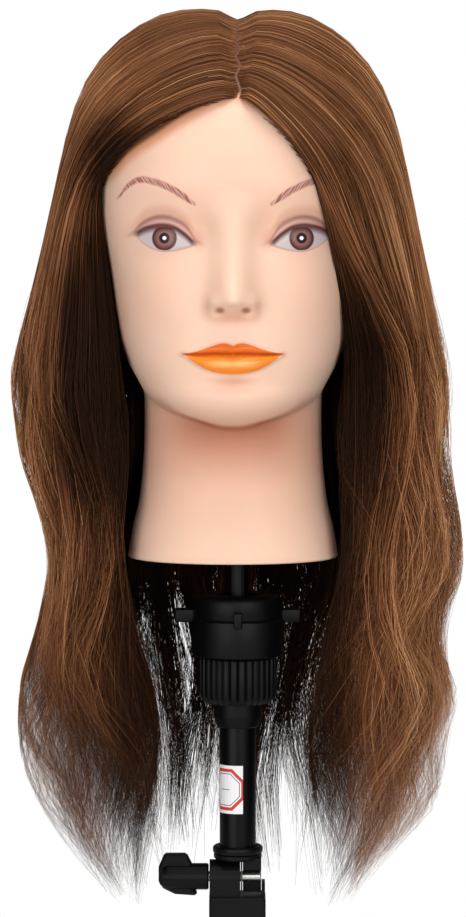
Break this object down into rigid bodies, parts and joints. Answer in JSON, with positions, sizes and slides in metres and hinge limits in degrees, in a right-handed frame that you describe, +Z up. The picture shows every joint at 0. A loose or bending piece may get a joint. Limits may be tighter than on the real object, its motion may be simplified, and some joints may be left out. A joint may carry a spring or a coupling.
{
  "type": "mannequin training head",
  "caption": "Hairdressing practice head with long brown rooted hair on a swivelling, tilting post held by a desk clamp.",
  "frame": {"origin": "middle of the clamp's upper jaw pad, on the face that presses on the table top", "axes": "+Z up along the post, the face looks along -Y, +X to the viewer's right when facing the head"},
  "size_m": [0.2226, 0.2051, 0.666],
  "materials": {
    "skin_vinyl": "soft satin vinyl, painted features",
    "core_foam": "moulded foam",
    "plate_plastic": "matte moulded",
    "bright_steel": "zinc plated",
    "hair_fibre": "long brown human-type hair",
    "black_lacquer": "gloss black lacquer",
    "black_plastic": "semi-gloss moulded",
    "collet_nylon": "natural nylon",
    "label_paper": null,
    "disc_fibre": "pressed fibre",
    "clamp_paint": "satin powder coat",
    "pad_rubber": "matte rubber"
  },
  "bodies": {
    "clamp": {"clamp_frame": "clamp_paint", "jaw_pad": "pad_rubber", "boss_screw": "bright_steel", "lower_post": "black_lacquer", "lower_tilt_block": "black_plastic", "block_screw": "bright_steel", "friction_disc": "disc_fibre"},
    "foot": {"clamp_foot": "black_plastic"},
    "screw": {"clamp_screw": "bright_steel", "clamp_handle": "black_plastic"},
    "knob": {"tilt_knob": "black_plastic", "tilt_bolt": "bright_steel"},
    "upright": {"upper_tilt_block": "black_plastic", "tube_ring": "black_plastic", "upper_tube": "black_lacquer", "tube_label": "label_paper", "sleeve": "black_plastic", "collet": "collet_nylon", "adapter_collar": "black_plastic"},
    "nut": {"grip_nut": "black_plastic"},
    "spigot": {"spigot_rod": "black_lacquer", "spigot_plug": "black_plastic", "plug_grub_screw": "bright_steel"},
    "head": {"head_shell": "skin_vinyl", "foam_core": "core_foam", "neck_plate": "plate_plastic", "socket_cup": "plate_plastic", "plate_screw_1": "bright_steel", "plate_screw_2": "bright_steel", "plate_screw_3": "bright_steel", "plate_screw_4": "bright_steel", "hair_crown": "hair_fibre", "hair_left": "hair_fibre", "hair_right": "hair_fibre", "hair_back_left": "hair_fibre", "hair_back_right": "hair_fibre"}
  },
  "joints": [
    {"name": "foot_slide", "type": "slide", "parent": "clamp", "child": "foot", "axis": [0, 0, 1], "range_m": [-0.023, 0.019]},
    {"name": "screw_turn", "type": "hinge", "parent": "foot", "child": "screw", "pos_m": [0, 0, -0.06], "axis": [0, 0, 1], "range_deg": [-2080, 1720]},
    {"name": "tilt", "type": "hinge", "parent": "clamp", "child": "upright", "pos_m": [0, -0.03, 0.095], "axis": [1, 0, 0], "range_deg": [-30, 60]},
    {"name": "knob_turn", "type": "hinge", "parent": "clamp", "child": "knob", "pos_m": [0, -0.03, 0.095], "axis": [1, 0, 0], "range_deg": [-360, 30]},
    {"name": "nut_turn", "type": "hinge", "parent": "upright", "child": "nut", "pos_m": [0, -0.03, 0.095], "axis": [0, 0, 1], "range_deg": [-360, 30]},
    {"name": "head_swivel", "type": "hinge", "parent": "upright", "child": "spigot", "pos_m": [0, -0.03, 0.095], "axis": [0, 0, 1], "continuous": true},
    {"name": "head_lift", "type": "slide", "parent": "spigot", "child": "head", "axis": [0, 0, 1], "range_m": [0, 0.075]}
  ],
  "couplings": [
    {"joint": "screw_turn", "follows": "foot_slide", "rad_per_m": 1570.8}
  ]
}
